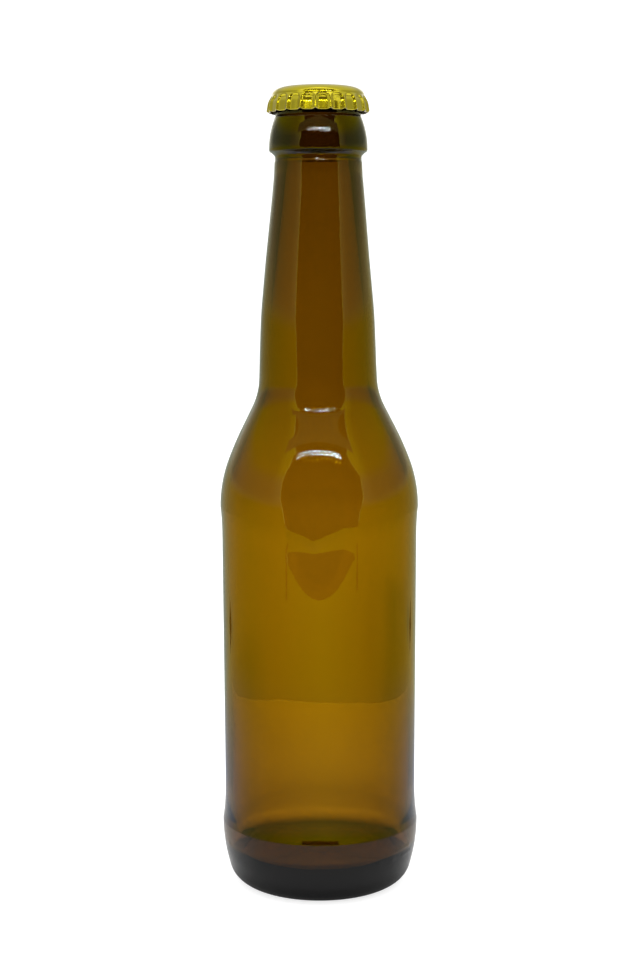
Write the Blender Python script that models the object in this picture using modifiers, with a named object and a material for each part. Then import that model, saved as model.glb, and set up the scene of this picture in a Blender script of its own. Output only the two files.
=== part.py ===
"""Longneck beer bottle in amber glass, closed with a crimped crown cap.

Metres, +Z up.  The bottle stands on z = 0 and its axis is the Z axis.
The front faces -Y.
"""

import math

import bpy

MM = 0.001

# Finish: the lip that the crown grips, and the thick collar under it.
BOTTLE_HEIGHT = 233.4 * MM
BORE_RADIUS = 7.95 * MM
BORE_ROUND = 0.8 * MM
LIP_ROUND = 2.3 * MM
LOCKING_RING_RADIUS = 12.9 * MM
LOCKING_RING_FOOT = 229.8 * MM
WAIST_RADIUS = 12.32 * MM
WAIST_TOP = 227.7 * MM
COLLAR_TOP = 226.2 * MM
COLLAR_RADIUS = 14.2 * MM
COLLAR_WIDEST = 217.0 * MM
COLLAR_CROWN = 23.0 * MM
COLLAR_CORNER = 1.0 * MM
COLLAR_CORNER_DROP = 0.25 * MM
COLLAR_CORNER_TURN = math.radians(72.0)
COLLAR_FOOT = 214.8 * MM
PARTING_RADIUS = 12.5 * MM
PARTING_STEP_HEIGHT = 213.1 * MM
PARTING_STEP = 0.17 * MM

# Neck: a short upright stretch, a long cone and a steeper lower stretch.
NECK_TOP = 209.5 * MM
NECK_TOP_RADIUS = 12.8 * MM
CONE_FOOT = 169.4 * MM
CONE_FOOT_RADIUS = 16.55 * MM
NECK_FOOT_RADIUS = 17.25 * MM
NECK_FOOT_SLOPE = math.radians(2.2)

# Shoulder: a hollow sweep out of the neck, a straight slope and two
# rounds that end on the contact band.
SWEEP_ROUND = 20.0 * MM
SHOULDER_SLOPE = math.radians(26.8)
SHOULDER_UPPER_ROUND = 96.0 * MM
SHOULDER_TURN = math.radians(20.5)
SHOULDER_LOWER_ROUND = 38.5 * MM
BAND_RADIUS = 29.15 * MM
SHOULDER_BAND_HEIGHT = 113.4 * MM

# Body: the label panel lies a little deeper than the two contact bands.
PANEL_TOP = 101.0 * MM
PANEL_TOP_RADIUS = 28.67 * MM
PANEL_FOOT = 33.0 * MM
PANEL_FOOT_RADIUS = 28.36 * MM
HEEL_BAND_HEIGHT = 19.0 * MM

# Heel and base: two rounds down to the bearing ring, then the push-up.
HEEL_UPPER_ROUND = 49.0 * MM
HEEL_LOWER_ROUND = 7.0 * MM
RING_OUTER_RADIUS = 20.4 * MM
RING_INNER_RADIUS = 18.4 * MM
PUSH_UP_RISE = 0.9 * MM
PUSH_UP_EDGE_RADIUS = 17.3 * MM
PUSH_UP_HEIGHT = 3.9 * MM

# Inside of the glass.
BORE_LENGTH = 12.0 * MM
NECK_WALL_TOP = 3.4 * MM
CONE_FOOT_WALL = 3.0 * MM
SHOULDER_WALL = 2.1 * MM
BODY_WALL = 2.1 * MM
INNER_HEEL_ROUND = 4.5 * MM
INNER_HEEL_HEIGHT = 13.6 * MM
FLOOR_EDGE_RADIUS = 21.5 * MM
FLOOR_CENTRE_HEIGHT = 9.6 * MM

# Crown cap of thin sheet steel, with 21 flutes round its skirt.
CAP_TOP = 234.5 * MM
CAP_PANEL_RADIUS = 9.4 * MM
CAP_DOME = 0.15 * MM
CAP_CORNER = 2.35 * MM
CAP_CORNER_WIDTH = 3.9 * MM
CAP_SKIRT_TOP_RADIUS = 13.3 * MM
CAP_FLARE_RADIUS = 14.45 * MM
CAP_FLARE_HEIGHT = 230.0 * MM
CAP_RIM_RADIUS = 14.85 * MM
CAP_RIM_HEIGHT = 227.45 * MM
CAP_SHEET = 0.25 * MM
FLUTES = 21
FLUTE_DEPTH = 0.72 * MM
FLUTE_DROP = 0.4 * MM
FLUTE_TOP = 232.3 * MM
FLUTE_FULL = 230.6 * MM
FLUTE_SHARPNESS = 4
FLUTE_TURN = math.radians(5.4)

BOTTLE_SIDES = 48
CAP_STEPS_PER_FLUTE = 6
MERGE_DISTANCE = 0.02 * MM


def arc(centre, radius, start, end, steps):
    """Points of an arc in the X-Z plane; angles rise from +X towards +Z."""
    points = []
    for step in range(steps + 1):
        angle = start + (end - start) * step / steps
        x = centre[0] + radius * math.cos(angle)
        z = centre[1] + radius * math.sin(angle)
        points.append((x, z))
    return points


def settle(start, end, steps):
    """Points from start to end that leave at a slope and arrive upright."""
    points = []
    for step in range(steps + 1):
        t = step / steps
        x = end[0] + (start[0] - end[0]) * (1.0 - t) ** 2
        z = start[1] + (end[1] - start[1]) * t
        points.append((x, z))
    return points


def dish(radius, middle, edge, steps):
    """Points of a shallow round floor, level at its middle and at its edge."""
    points = []
    for step in range(steps + 1):
        t = step / steps
        blend = t * t * (3.0 - 2.0 * t)
        points.append((radius * t, middle + (edge - middle) * blend))
    return points


def shoulder(inset):
    """The sweep, the slope and the two rounds, moved inwards by inset."""
    lower = (BAND_RADIUS - SHOULDER_LOWER_ROUND, SHOULDER_BAND_HEIGHT)
    gap = SHOULDER_UPPER_ROUND - SHOULDER_LOWER_ROUND
    upper = (lower[0] - gap * math.cos(SHOULDER_TURN),
             lower[1] - gap * math.sin(SHOULDER_TURN))
    cosine = math.cos(SHOULDER_SLOPE)
    sine = math.sin(SHOULDER_SLOPE)
    slope_foot = (upper[0] + SHOULDER_UPPER_ROUND * cosine,
                  upper[1] + SHOULDER_UPPER_ROUND * sine)
    sweep_reach = SWEEP_ROUND * (cosine - math.cos(NECK_FOOT_SLOPE))
    slope_length = (slope_foot[0] + sweep_reach - NECK_FOOT_RADIUS) / sine
    sweep = (slope_foot[0] - slope_length * sine + SWEEP_ROUND * cosine,
             slope_foot[1] + slope_length * cosine + SWEEP_ROUND * sine)
    points = arc(sweep, -(SWEEP_ROUND + inset), NECK_FOOT_SLOPE, SHOULDER_SLOPE, 4)
    points += arc(upper, SHOULDER_UPPER_ROUND - inset, SHOULDER_SLOPE, SHOULDER_TURN, 2)
    points += arc(lower, SHOULDER_LOWER_ROUND - inset, SHOULDER_TURN, 0.0, 5)[1:]
    return points


def heel():
    """The two rounds from the heel band down to the bearing ring."""
    upper = (BAND_RADIUS - HEEL_UPPER_ROUND, HEEL_BAND_HEIGHT)
    lower = (RING_OUTER_RADIUS, HEEL_LOWER_ROUND)
    turn = math.atan2(upper[1] - lower[1], upper[0] - lower[0]) - math.pi
    points = arc(upper, HEEL_UPPER_ROUND, 0.0, turn, 4)
    points += arc(lower, HEEL_LOWER_ROUND, turn, -math.pi / 2, 5)[1:]
    return points


def push_up():
    """From the bearing ring's inner edge up to the middle of the base."""
    rise = PUSH_UP_HEIGHT - PUSH_UP_RISE
    radius = (PUSH_UP_EDGE_RADIUS ** 2 + rise ** 2) / (2.0 * rise)
    centre = (0.0, PUSH_UP_HEIGHT - radius)
    edge = math.acos(PUSH_UP_EDGE_RADIUS / radius)
    points = [(RING_INNER_RADIUS, 0.0)]
    points += arc(centre, radius, edge, math.pi / 2, 4)
    return points


def finish_outside():
    """From the lip's inner round over the lip and collar to the neck."""
    quarter = math.pi / 2
    lip_centre = (LOCKING_RING_RADIUS - LIP_ROUND, BOTTLE_HEIGHT - LIP_ROUND)
    mouth_centre = (BORE_RADIUS + BORE_ROUND, BOTTLE_HEIGHT - BORE_ROUND)
    points = arc(mouth_centre, BORE_ROUND, math.pi, quarter, 3)
    points += arc(lip_centre, LIP_ROUND, quarter, 0.0, 4)
    points.append((LOCKING_RING_RADIUS, LOCKING_RING_FOOT))
    points.append((WAIST_RADIUS, WAIST_TOP))
    points.append((WAIST_RADIUS, COLLAR_TOP))
    crown_centre = (COLLAR_RADIUS - COLLAR_CROWN, COLLAR_WIDEST)
    crown_top = math.asin((COLLAR_TOP - COLLAR_CORNER - COLLAR_WIDEST) / COLLAR_CROWN)
    points += arc(crown_centre, COLLAR_CROWN, crown_top, 0.0, 5)
    corner_centre = (COLLAR_RADIUS - COLLAR_CORNER, COLLAR_WIDEST - COLLAR_CORNER_DROP)
    points += arc(corner_centre, COLLAR_CORNER, 0.0, -COLLAR_CORNER_TURN, 3)
    points.append((PARTING_RADIUS, COLLAR_FOOT))
    points.append((PARTING_RADIUS, PARTING_STEP_HEIGHT + PARTING_STEP))
    points.append((PARTING_RADIUS + PARTING_STEP, PARTING_STEP_HEIGHT))
    return points


def outside():
    """The outer side of the glass, from the mouth down to the axis."""
    points = finish_outside()
    points.append((NECK_TOP_RADIUS, NECK_TOP))
    points.append((CONE_FOOT_RADIUS, CONE_FOOT))
    points += shoulder(0.0)
    band = (BAND_RADIUS, SHOULDER_BAND_HEIGHT)
    panel_top = (PANEL_TOP_RADIUS, PANEL_TOP)
    panel_foot = (PANEL_FOOT_RADIUS, PANEL_FOOT)
    heel_band = (BAND_RADIUS, HEEL_BAND_HEIGHT)
    points += settle(band, panel_top, 4)[1:]
    rise = settle(heel_band, panel_foot, 4)
    rise.reverse()
    points += rise
    points += heel()[1:]
    points += push_up()
    return points


def inside():
    """The inner side of the glass, from the axis up to the bore."""
    foot_radius = PANEL_FOOT_RADIUS - BODY_WALL
    heel_centre = (foot_radius - INNER_HEEL_ROUND, INNER_HEEL_HEIGHT)
    floor_edge = math.acos((FLOOR_EDGE_RADIUS - heel_centre[0]) / INNER_HEEL_ROUND)
    edge_height = heel_centre[1] - INNER_HEEL_ROUND * math.sin(floor_edge)
    points = dish(FLOOR_EDGE_RADIUS, FLOOR_CENTRE_HEIGHT, edge_height, 4)
    points += arc(heel_centre, INNER_HEEL_ROUND, -floor_edge, 0.0, 5)[1:]
    slope = shoulder(SHOULDER_WALL)
    slope.reverse()
    points += slope
    points.append((CONE_FOOT_RADIUS - CONE_FOOT_WALL, CONE_FOOT))
    points.append((NECK_TOP_RADIUS - NECK_WALL_TOP, NECK_TOP))
    points.append((BORE_RADIUS, BOTTLE_HEIGHT - BORE_ROUND - BORE_LENGTH))
    return points


def cap_outside():
    """The outer side of the cap on a flute's ridge, from the axis to the rim."""
    corner_foot = CAP_TOP - CAP_DOME - CAP_CORNER
    points = [(0.0, CAP_TOP), (CAP_PANEL_RADIUS / 2, CAP_TOP - CAP_DOME / 4)]
    for step in range(5):
        angle = math.pi / 2 * (1.0 - step / 4)
        x = CAP_PANEL_RADIUS + CAP_CORNER_WIDTH * math.cos(angle)
        z = corner_foot + CAP_CORNER * math.sin(angle)
        points.append((x, z))
    flare = (CAP_FLARE_RADIUS, CAP_FLARE_HEIGHT)
    rim = (CAP_RIM_RADIUS, CAP_RIM_HEIGHT)
    middle = (corner_foot + flare[1]) / 2
    points.append(((CAP_SKIRT_TOP_RADIUS + flare[0]) / 2, middle))
    points.append(flare)
    points.append(((flare[0] + rim[0]) / 2, (flare[1] + rim[1]) / 2))
    points.append(rim)
    return points


def fluted(x, y, z):
    """A point of the turned cap, pressed in between the flutes' ridges."""
    radius = math.hypot(x, y)
    turn = math.atan2(y, x) + math.pi / 2 - FLUTE_TURN
    ridge = ((1.0 - math.cos(FLUTES * turn)) / 2) ** FLUTE_SHARPNESS
    t = (FLUTE_TOP - z) / (FLUTE_TOP - FLUTE_FULL)
    t = min(max(t, 0.0), 1.0)
    pressed = t * t * (3.0 - 2.0 * t) * (1.0 - ridge)
    down = max(0.0, (CAP_FLARE_HEIGHT - z) / (CAP_FLARE_HEIGHT - CAP_RIM_HEIGHT))
    if radius == 0.0:
        return (x, y, z)
    scale = (radius - FLUTE_DEPTH * pressed) / radius
    return (x * scale, y * scale, z - FLUTE_DROP * pressed * down)


def glass_material():
    material = bpy.data.materials.new("amber_glass")
    material.use_nodes = True
    shader = material.node_tree.nodes["Principled BSDF"]
    shader.inputs["Base Color"].default_value = (0.30, 0.15, 0.01, 1.0)
    shader.inputs["Roughness"].default_value = 0.03
    shader.inputs["Metallic"].default_value = 0.0
    shader.inputs["IOR"].default_value = 1.52
    shader.inputs["Transmission Weight"].default_value = 1.0
    return material


def gold_material():
    material = bpy.data.materials.new("gold_lacquered_steel")
    material.use_nodes = True
    shader = material.node_tree.nodes["Principled BSDF"]
    shader.inputs["Base Color"].default_value = (0.72, 0.60, 0.07, 1.0)
    shader.inputs["Roughness"].default_value = 0.22
    shader.inputs["Metallic"].default_value = 1.0
    return material


def turned(name, profile, sides, material, collection):
    """A profile in the X-Z plane, turned round the Z axis."""
    mesh = bpy.data.meshes.new(name)
    corners = [(x, 0.0, z) for x, z in profile]
    edges = [(index, index + 1) for index in range(len(profile) - 1)]
    mesh.from_pydata(corners, edges, [])
    item = bpy.data.objects.new(name, mesh)
    item.data.materials.append(material)
    collection.objects.link(item)
    screw = item.modifiers.new("turn", "SCREW")
    screw.axis = "Z"
    screw.angle = 2.0 * math.pi
    screw.steps = sides
    screw.render_steps = sides
    screw.use_merge_vertices = True
    screw.merge_threshold = MERGE_DISTANCE
    screw.use_smooth_shade = True
    return item


def make_bottle(collection):
    profile = inside() + outside()
    return turned("bottle", profile, BOTTLE_SIDES, glass_material(), collection)


def make_crown_cap(collection):
    """The turned cap made a mesh, fluted, and given its sheet thickness."""
    sides = FLUTES * CAP_STEPS_PER_FLUTE
    cap = turned("crown_cap", cap_outside(), sides, gold_material(), collection)
    depsgraph = bpy.context.evaluated_depsgraph_get()
    mesh = bpy.data.meshes.new_from_object(cap.evaluated_get(depsgraph))
    cap.modifiers.clear()
    blank = cap.data
    cap.data = mesh
    bpy.data.meshes.remove(blank)
    mesh.name = "crown_cap"
    for vertex in mesh.vertices:
        vertex.co = fluted(*vertex.co)
    sheet = cap.modifiers.new("sheet", "SOLIDIFY")
    sheet.thickness = CAP_SHEET
    sheet.offset = -1.0
    sheet.use_even_offset = True
    return cap


def main():
    for item in list(bpy.data.objects):
        bpy.data.objects.remove(item, do_unlink=True)
    collection = bpy.data.collections.new("beer_bottle")
    bpy.context.scene.collection.children.link(collection)
    make_bottle(collection)
    make_crown_cap(collection)


if __name__ == "__main__":
    main()
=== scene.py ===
"""A longneck bottle in amber glass with a gold crown cap.

Laid out as an add-on: the settings, one operator for the glass, one for the
crown, one for the light tent with its floor and camera, and a panel.
Run as a script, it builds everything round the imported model, in metres.
"""

import math
import random

import bmesh
import bpy
from bpy.props import FloatProperty, FloatVectorProperty, IntProperty, PointerProperty
from mathutils import Euler, Matrix, Vector, noise


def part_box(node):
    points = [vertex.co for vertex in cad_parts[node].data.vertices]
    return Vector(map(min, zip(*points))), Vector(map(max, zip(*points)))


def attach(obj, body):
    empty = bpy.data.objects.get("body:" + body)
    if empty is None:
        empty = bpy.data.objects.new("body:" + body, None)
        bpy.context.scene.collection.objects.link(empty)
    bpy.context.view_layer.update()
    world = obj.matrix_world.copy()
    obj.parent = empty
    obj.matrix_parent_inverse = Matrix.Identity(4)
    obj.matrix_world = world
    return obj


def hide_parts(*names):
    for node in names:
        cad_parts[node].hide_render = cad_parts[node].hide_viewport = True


bl_info = {
    "name": "Longneck Bottle",
    "version": (1, 0, 0),
    "blender": (4, 5, 0),
    "location": "3D View > Sidebar > Bottle",
    "description": "Amber glass, a crimped gold crown and a light tent round a packed bottle",
    "category": "Add Mesh",
}

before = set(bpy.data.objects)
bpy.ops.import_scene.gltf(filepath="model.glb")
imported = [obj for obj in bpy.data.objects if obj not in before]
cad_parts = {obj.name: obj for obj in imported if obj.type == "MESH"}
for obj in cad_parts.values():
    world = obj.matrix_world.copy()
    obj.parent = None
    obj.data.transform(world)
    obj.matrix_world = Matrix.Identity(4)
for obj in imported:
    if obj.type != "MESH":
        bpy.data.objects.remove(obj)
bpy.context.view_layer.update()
GLASS_LOW, GLASS_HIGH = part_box("bottle")
CROWN_LOW, CROWN_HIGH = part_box("crown_cap")

MM = 0.001
QUARTER = math.pi / 2


# Settings -------------------------------------------------

class GlassSettings(bpy.types.PropertyGroup):
    """Sizes and colour of the glass."""

    height: FloatProperty(
        name="Height", description="From the bearing ring to the lip",
        default=GLASS_HIGH.z, unit="LENGTH", precision=4)
    band_radius: FloatProperty(
        name="Band radius", description="Radius of the two contact bands",
        default=GLASS_HIGH.x, unit="LENGTH", precision=4)
    bore_radius: FloatProperty(
        name="Bore radius", description="Radius of the mouth's bore",
        default=7.95 * MM, unit="LENGTH", precision=4)
    collar_radius: FloatProperty(
        name="Collar radius", description="Largest radius of the collar under the crown",
        default=14.2 * MM, unit="LENGTH", precision=4)
    body_wall: FloatProperty(
        name="Body wall", description="Thickness of the glass in the body",
        default=2.28 * MM, unit="LENGTH", precision=5)
    shoulder_wall: FloatProperty(
        name="Shoulder wall", description="Thickness of the glass in the shoulder",
        default=2.3 * MM, unit="LENGTH", precision=5)
    neck_wall: FloatProperty(
        name="Neck wall", description="Thickness of the glass at the top of the neck",
        default=3.45 * MM, unit="LENGTH", precision=5)
    tint: FloatVectorProperty(
        name="Amber", description="Colour that the glass lets through",
        default=(0.764, 0.7256, 0.0), subtype="COLOR", min=0.0, max=1.0)
    skin: FloatVectorProperty(
        name="Skin", description="Colour that every surface of the glass lets through",
        default=(1.0, 0.715, 0.5), subtype="COLOR", min=0.0, max=1.0)
    depth: FloatProperty(
        name="Depth of colour", description="Absorption for each metre of glass",
        default=1350.0)
    ripple: FloatProperty(
        name="Ripple", description="How far the inner wall wanders from round",
        default=0.13 * MM, unit="LENGTH", precision=5)


class CrownSettings(bpy.types.PropertyGroup):
    """Sizes and colour of the crown cap."""

    top: FloatProperty(
        name="Top", description="Height of the middle of the panel",
        default=CROWN_HIGH.z, unit="LENGTH", precision=4)
    flutes: IntProperty(
        name="Flutes", description="Number of flutes round the skirt", default=21)
    flute_depth: FloatProperty(
        name="Flute depth", description="How deep the crimping presses between ridges",
        default=0.65 * MM, unit="LENGTH", precision=5)
    sheet: FloatProperty(
        name="Sheet", description="Thickness of the steel sheet",
        default=0.25 * MM, unit="LENGTH", precision=5)
    gold: FloatVectorProperty(
        name="Gold", description="Colour of the lacquer on the steel",
        default=(0.72, 0.61, 0.006), subtype="COLOR", min=0.0, max=1.0)


class TentSettings(bpy.types.PropertyGroup):
    """The light tent and the camera."""

    distance: FloatProperty(
        name="Distance", description="From the camera to the bottle's axis",
        default=0.520, unit="LENGTH")
    eye_height: FloatProperty(
        name="Eye height", description="Height of the camera above the floor",
        default=0.1831, unit="LENGTH", precision=4)
    tilt: FloatProperty(
        name="Tilt", description="How far the camera looks down",
        default=math.radians(7.15), subtype="ANGLE")
    lens: FloatProperty(
        name="Lens", description="Focal length on a 36 mm sensor, in millimetres",
        default=65.24)
    roll: FloatProperty(
        name="Roll", description="How far the camera leans to its right",
        default=math.radians(0.17), subtype="ANGLE")
    white: FloatProperty(
        name="White", description="Brightness of the open background", default=1.25)
    wall: FloatProperty(
        name="Wall", description="Brightness of the back wall seen through the glass",
        default=0.95)
    cloth: FloatProperty(
        name="Cloth", description="Brightness of the cloth that gloss mirrors", default=0.40)
    back: FloatProperty(
        name="Back", description="Brightness of the back wall that gloss mirrors", default=1.1)
    flap: FloatProperty(
        name="Flap", description="Brightness of the cloth beside the opening", default=0.85)
    strip: FloatProperty(
        name="Strip", description="Brightness of the strip of small lights", default=160.0)


# Profiles in the X-Z plane --------------------------------

WAIST_RADIUS = 12.32 * MM
WAIST_TOP = 227.7 * MM
LOCKING_RING_RADIUS = 12.9 * MM
LOCKING_RING_FOOT = 229.8 * MM
COLLAR_TOP = 226.2 * MM
COLLAR_WIDEST = 217.0 * MM
COLLAR_CROWN = 23.0 * MM
COLLAR_CORNER = 1.0 * MM
COLLAR_CORNER_DROP = 0.25 * MM
COLLAR_CORNER_TURN = math.radians(72.0)
COLLAR_FOOT = 214.8 * MM
PARTING_RADIUS = 12.5 * MM
PARTING_HEIGHT = 213.1 * MM
PARTING_STEP = 0.17 * MM
PARTING_RUN = 0.62 * MM
PARTING_ROUND = 2.0 * MM
NECK_TOP = 209.5 * MM
NECK_TOP_RADIUS = 12.8 * MM
CONE_FOOT = 169.4 * MM
CONE_FOOT_RADIUS = 16.55 * MM
CONE_FOOT_WALL = 3.0 * MM
SWEEP_TOP = 152.0 * MM
NECK_FOOT_RADIUS = 17.25 * MM
NECK_FOOT_SLOPE = math.radians(2.2)
SWEEP_ROUND = 20.0 * MM
SHOULDER_SLOPE = math.radians(26.8)
SHOULDER_UPPER_ROUND = 96.0 * MM
SHOULDER_TURN = math.radians(20.5)
SHOULDER_LOWER_ROUND = 38.5 * MM
SHOULDER_BAND_HEIGHT = 113.4 * MM
PANEL_TOP = 101.0 * MM
PANEL_TOP_RADIUS = 28.67 * MM
PANEL_FOOT = 33.0 * MM
PANEL_FOOT_RADIUS = 28.36 * MM
HEEL_BAND_HEIGHT = 19.0 * MM
HEEL_UPPER_ROUND = 49.0 * MM
HEEL_LOWER_ROUND = 7.0 * MM
RING_OUTER_RADIUS = 20.4 * MM
RING_INNER_RADIUS = 18.4 * MM
PUSH_UP_RISE = 0.9 * MM
PUSH_UP_EDGE_RADIUS = 17.3 * MM
PUSH_UP_HEIGHT = 3.9 * MM
BORE_ROUND = 0.8 * MM
LIP_ROUND = 2.3 * MM
LOCKING_EDGE_ROUND = 0.6 * MM
WAIST_ROUND = 0.8 * MM
UNDER_COLLAR_ROUND = 0.6 * MM
NECK_TOP_ROUND = 30.0 * MM
CONE_FOOT_ROUND = 160.0 * MM
BAND_EDGE_ROUND = 1.6 * MM
RING_EDGE_ROUND = 0.5 * MM
PUSH_UP_EDGE_ROUND = 1.2 * MM
INNER_SWEEP_ROUND = 30.0 * MM
BORE_FOOT_ROUND = 30.0 * MM
BORE_TOP_ROUND = 20.0 * MM
BORE_LENGTH = 12.0 * MM
INNER_HEEL_ROUND = 4.5 * MM
INNER_HEEL_HEIGHT = 13.6 * MM
FLOOR_EDGE_RADIUS = 21.5 * MM
FLOOR_CENTRE_HEIGHT = 9.6 * MM
SWEEP_STEPS = 16
UPPER_ROUND_STEPS = 6
LOWER_ROUND_STEPS = 14
LONGEST_ROUND = 0.45
WELD = 0.002 * MM
AXIS = 0.001 * MM

# (foot, top, distance between rings); the first zone that fits counts.
OUTSIDE_RINGS = (
    (8 * MM, 17 * MM, 0.5 * MM), (98 * MM, 116 * MM, 0.75 * MM),
    (116 * MM, 160 * MM, 1.6 * MM), (-1.0, 1.0, 4.0 * MM))
INSIDE_RINGS = ((100 * MM, 160 * MM, 1.6 * MM), (-1.0, 1.0, 4.0 * MM))


def fade(value, low, high):
    """0 below low, 1 above high, and smooth between."""
    t = min(max((value - low) / (high - low), 0.0), 1.0)
    return t * t * (3.0 - 2.0 * t)


def even_turns(start, end, steps):
    """Angles from start to end, evenly apart."""
    return [start + (end - start) * step / steps for step in range(steps + 1)]


def arc(centre, radius, start, end, steps):
    """Points of an arc; angles rise from +X towards +Z."""
    return [(centre[0] + radius * math.cos(angle), centre[1] + radius * math.sin(angle))
            for angle in even_turns(start, end, steps)]


def settle(start, end, steps):
    """Points from start to end that leave at a slope and soon run upright."""
    points = []
    for step in range(steps + 1):
        t = step / steps
        x = end[0] + (start[0] - end[0]) * (1.0 - t) ** 3
        z = start[1] + (end[1] - start[1]) * t
        points.append((x, z))
    return points


def dish(radius, middle, edge, steps):
    """Points of a shallow round floor, level at its middle and at its edge."""
    points = []
    for step in range(steps + 1):
        t = step / steps
        points.append((radius * t, middle + (edge - middle) * fade(t, 0.0, 1.0)))
    return points


def rounded(before, corner, after, radius, steps):
    """A corner of an outline, turned into a small round."""
    here = Vector(corner)
    to_before = Vector(before) - here
    to_after = Vector(after) - here
    reach = radius / math.tan(to_before.angle(to_after) / 2)
    reach = min(reach, to_before.length * LONGEST_ROUND, to_after.length * LONGEST_ROUND)
    start = here + to_before.normalized() * reach
    end = here + to_after.normalized() * reach
    points = []
    for step in range(steps + 1):
        t = step / steps
        point = start * (1 - t) ** 2 + here * 2 * t * (1 - t) + end * t * t
        points.append((point.x, point.y))
    return points


def spread(points, zones):
    """The outline with more points, no further apart than their zone allows."""
    dense = [points[0]]
    for (x0, z0), (x1, z1) in zip(points, points[1:]):
        middle = (z0 + z1) / 2
        gap = next(gap for foot, top, gap in zones if foot <= middle < top)
        pieces = max(1, math.ceil(math.hypot(x1 - x0, z1 - z0) / gap))
        for piece in range(1, pieces + 1):
            t = piece / pieces
            dense.append((x0 + (x1 - x0) * t, z0 + (z1 - z0) * t))
    return dense


def no_wall(height):
    return 0.0


def shoulder(glass, wall):
    """From the neck's foot down to the band, moved inwards by wall(height)."""
    lower = (glass.band_radius - SHOULDER_LOWER_ROUND, SHOULDER_BAND_HEIGHT)
    gap = SHOULDER_UPPER_ROUND - SHOULDER_LOWER_ROUND
    upper = (lower[0] - gap * math.cos(SHOULDER_TURN),
             lower[1] - gap * math.sin(SHOULDER_TURN))
    cosine = math.cos(SHOULDER_SLOPE)
    sine = math.sin(SHOULDER_SLOPE)
    slope_foot = (upper[0] + SHOULDER_UPPER_ROUND * cosine,
                  upper[1] + SHOULDER_UPPER_ROUND * sine)
    sweep_reach = SWEEP_ROUND * (cosine - math.cos(NECK_FOOT_SLOPE))
    length = (slope_foot[0] + sweep_reach - NECK_FOOT_RADIUS) / sine
    sweep = (slope_foot[0] - length * sine + SWEEP_ROUND * cosine,
             slope_foot[1] + length * cosine + SWEEP_ROUND * sine)
    bends = ((sweep, -SWEEP_ROUND, NECK_FOOT_SLOPE, SHOULDER_SLOPE, SWEEP_STEPS),
             (upper, SHOULDER_UPPER_ROUND, SHOULDER_SLOPE, SHOULDER_TURN, UPPER_ROUND_STEPS),
             (lower, SHOULDER_LOWER_ROUND, SHOULDER_TURN, 0.0, LOWER_ROUND_STEPS))
    points = []
    for bend in bends:
        for turn, (x, z) in zip(even_turns(*bend[2:]), arc(*bend)):
            points.append((x - wall(z) * math.cos(turn), z - wall(z) * math.sin(turn)))
    # The lower round starts where the upper one ends: one of the two points goes.
    del points[-LOWER_ROUND_STEPS - 1]
    return points


def heel_outline(glass):
    """The two rounds from the heel band down to the bearing ring."""
    upper = (glass.band_radius - HEEL_UPPER_ROUND, HEEL_BAND_HEIGHT)
    lower = (RING_OUTER_RADIUS, HEEL_LOWER_ROUND)
    turn = math.atan2(upper[1] - lower[1], upper[0] - lower[0]) - math.pi
    points = arc(upper, HEEL_UPPER_ROUND, 0.0, turn, 12)
    points += arc(lower, HEEL_LOWER_ROUND, turn, -QUARTER, 20)[1:]
    return points


def push_up_outline():
    """From the bearing ring up to the middle of the base."""
    rise = PUSH_UP_HEIGHT - PUSH_UP_RISE
    radius = (PUSH_UP_EDGE_RADIUS ** 2 + rise ** 2) / (2.0 * rise)
    centre = (0.0, PUSH_UP_HEIGHT - radius)
    edge = math.acos(PUSH_UP_EDGE_RADIUS / radius)
    dome = arc(centre, radius, edge, QUARTER, 12)
    ring = (RING_INNER_RADIUS, 0.0)
    points = rounded((RING_OUTER_RADIUS, 0.0), ring, dome[0], RING_EDGE_ROUND, 4)
    points += rounded(ring, dome[0], dome[1], PUSH_UP_EDGE_ROUND, 5)
    points += dome[1:]
    return points


def finish_outline(glass):
    """From the inner edge of the lip over the collar to the top of the neck."""
    lip_centre = (LOCKING_RING_RADIUS - LIP_ROUND, glass.height - LIP_ROUND)
    mouth_centre = (glass.bore_radius + BORE_ROUND, glass.height - BORE_ROUND)
    points = arc(mouth_centre, BORE_ROUND, math.pi, QUARTER, 6)
    points += arc(lip_centre, LIP_ROUND, QUARTER, 0.0, 12)
    locking = (LOCKING_RING_RADIUS, LOCKING_RING_FOOT)
    waist = (WAIST_RADIUS, WAIST_TOP)
    waist_foot = (WAIST_RADIUS, COLLAR_TOP)
    collar_centre = (glass.collar_radius - COLLAR_CROWN, COLLAR_WIDEST)
    crown_top = math.asin((COLLAR_TOP - COLLAR_CORNER - COLLAR_WIDEST) / COLLAR_CROWN)
    collar = arc(collar_centre, COLLAR_CROWN, crown_top, 0.0, 16)
    points += rounded(points[-1], locking, waist, LOCKING_EDGE_ROUND, 4)
    points += rounded(locking, waist, waist_foot, WAIST_ROUND, 4)
    points += rounded(waist, waist_foot, collar[0], WAIST_ROUND, 5)
    points += collar
    corner = (glass.collar_radius - COLLAR_CORNER, COLLAR_WIDEST - COLLAR_CORNER_DROP)
    points += arc(corner, COLLAR_CORNER, 0.0, -COLLAR_CORNER_TURN, 10)
    under = (PARTING_RADIUS, COLLAR_FOOT)
    step_top = (PARTING_RADIUS, PARTING_HEIGHT + PARTING_RUN)
    step = (PARTING_RADIUS + PARTING_STEP, PARTING_HEIGHT)
    neck = (NECK_TOP_RADIUS, NECK_TOP)
    points += rounded(points[-1], under, step_top, UNDER_COLLAR_ROUND, 6)
    points += rounded(under, step_top, step, PARTING_ROUND, 6)
    points += rounded(step_top, step, neck, PARTING_ROUND, 8)
    points += rounded(step, neck, (CONE_FOOT_RADIUS, CONE_FOOT), NECK_TOP_ROUND, 6)
    return points


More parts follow.
